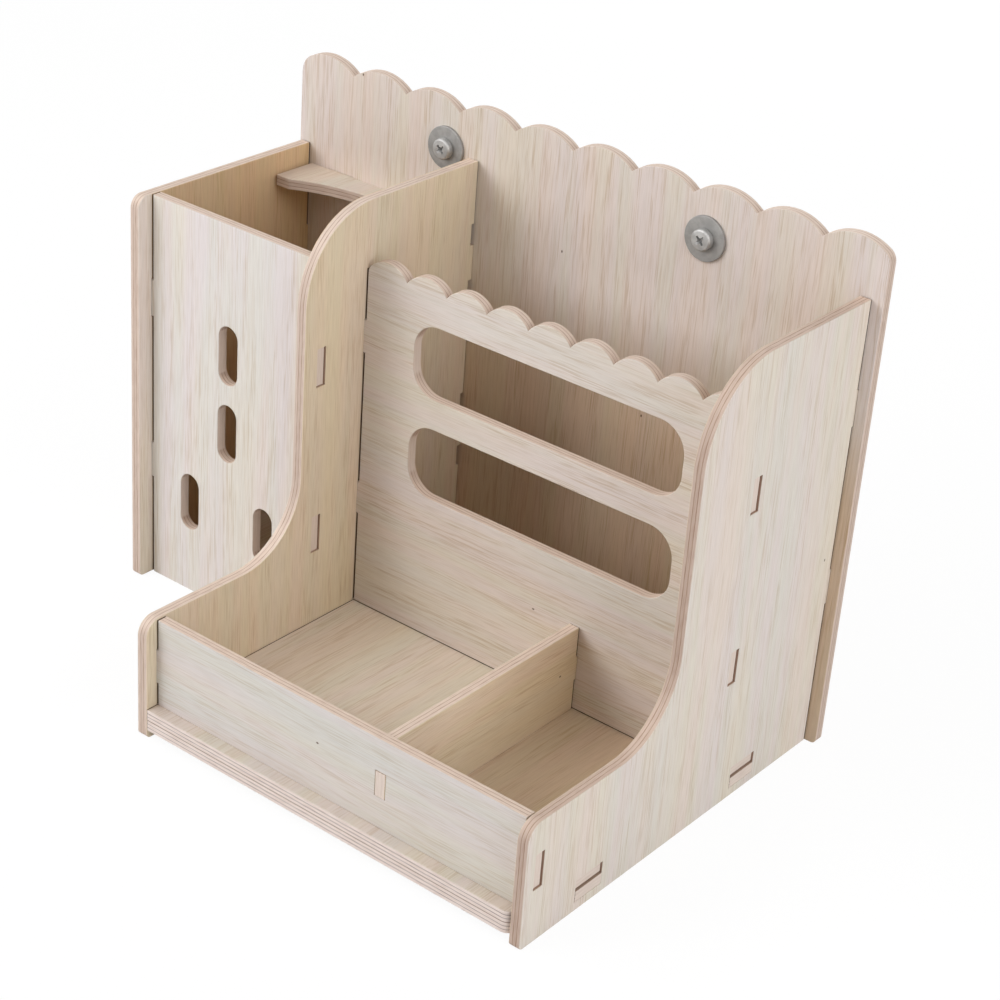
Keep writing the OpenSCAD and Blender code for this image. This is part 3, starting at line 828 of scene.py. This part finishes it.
def make_camera():
    outward = Vector((
        math.sin(CAMERA_AZIMUTH) * math.cos(CAMERA_ELEVATION),
        -math.cos(CAMERA_AZIMUTH) * math.cos(CAMERA_ELEVATION),
        math.sin(CAMERA_ELEVATION),
    ))
    right = (-outward).cross(Vector((0, 0, 1))).normalized()
    up = right.cross(-outward)
    turn = Matrix((right, up, outward)).transposed() @ Matrix.Rotation(CAMERA_ROLL, 3, "Z")
    data = bpy.data.cameras.new("camera")
    data.sensor_width = SENSOR_MM
    data.lens = LENS_MM
    data.clip_start = 0.05
    camera = bpy.data.objects.new("camera", data)
    camera.matrix_world = Matrix.Translation(CAMERA_AIM + outward * CAMERA_DISTANCE) @ turn.to_4x4()
    bpy.context.scene.collection.objects.link(camera)
    bpy.context.scene.camera = camera


def seen_share(tree):
    """1 for what the camera sees, straight or mirrored in metal, and 0 for what lights the object."""
    path = tree.nodes.new("ShaderNodeLightPath")
    either = tree.nodes.new("ShaderNodeMath")
    either.operation = "MAXIMUM"
    tree.links.new(path.outputs["Is Camera Ray"], either.inputs[0])
    tree.links.new(path.outputs["Is Glossy Ray"], either.inputs[1])
    return either.outputs[0]


def make_floor():
    """A pale floor that looks white to the camera and keeps the object's soft shadow."""
    graph = Graph("white_floor")
    shown = seen_share(graph.tree)
    speck = graph.noise(graph.object_coordinates(), detail=3.0, scale=40.0)
    pale = graph.mix(speck, colour(236, 236, 236), colour(240, 240, 240))
    plain = graph.add("ShaderNodeBsdfDiffuse", {"Color": pale})
    shadow_catch = graph.add("ShaderNodeBsdfDiffuse", {"Color": colour(*[FLOOR_SHADE] * 3)})
    glow = graph.add("ShaderNodeEmission", {"Color": (1, 1, 1, 1), "Strength": FLOOR_GLOW})
    seen = graph.add("ShaderNodeAddShader", {0: shadow_catch, 1: glow})
    both = graph.add("ShaderNodeMixShader", {0: shown, 1: plain, 2: seen})
    graph.plug(graph.tree.nodes["Material Output"].inputs["Surface"], both)
    graph.tree.nodes.remove(graph.shader)
    mesh = bpy.data.meshes.new("floor")
    bm = bmesh.new()
    bmesh.ops.create_grid(bm, x_segments=1, y_segments=1, size=FLOOR_HALF)
    bm.to_mesh(mesh)
    bm.free()
    mesh.materials.append(graph.material)
    floor = bpy.data.objects.new("floor", mesh)
    bpy.context.scene.collection.objects.link(floor)


def make_world():
    world = bpy.data.worlds.new("studio")
    world.use_nodes = True
    tree = world.node_tree
    shown = seen_share(tree)
    light = tree.nodes["Background"]
    light.inputs["Color"].default_value = (1, 1, 1, 1)
    light.inputs["Strength"].default_value = WORLD_LIGHT
    white = tree.nodes.new("ShaderNodeBackground")
    white.inputs["Color"].default_value = (1, 1, 1, 1)
    white.inputs["Strength"].default_value = 1.0
    choose = tree.nodes.new("ShaderNodeMixShader")
    tree.links.new(shown, choose.inputs[0])
    tree.links.new(light.outputs[0], choose.inputs[1])
    tree.links.new(white.outputs[0], choose.inputs[2])
    tree.links.new(choose.outputs[0], tree.nodes["World Output"].inputs["Surface"])
    bpy.context.scene.world = world


def make_lamps():
    for name, (place, size, power) in LAMPS.items():
        data = bpy.data.lights.new(name, "AREA")
        data.shape = "SQUARE"
        data.size = size
        data.energy = power
        lamp = bpy.data.objects.new(name, data)
        lamp.location = place
        lamp.rotation_euler = (Vector(LAMP_AIM) - Vector(place)).to_track_quat("-Z", "Y").to_euler()
        bpy.context.scene.collection.objects.link(lamp)


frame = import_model()

make_camera()
make_floor()
make_world()
make_lamps()
make_boards()
make_hardware()

bpy.context.scene.view_settings.view_transform = "Standard"
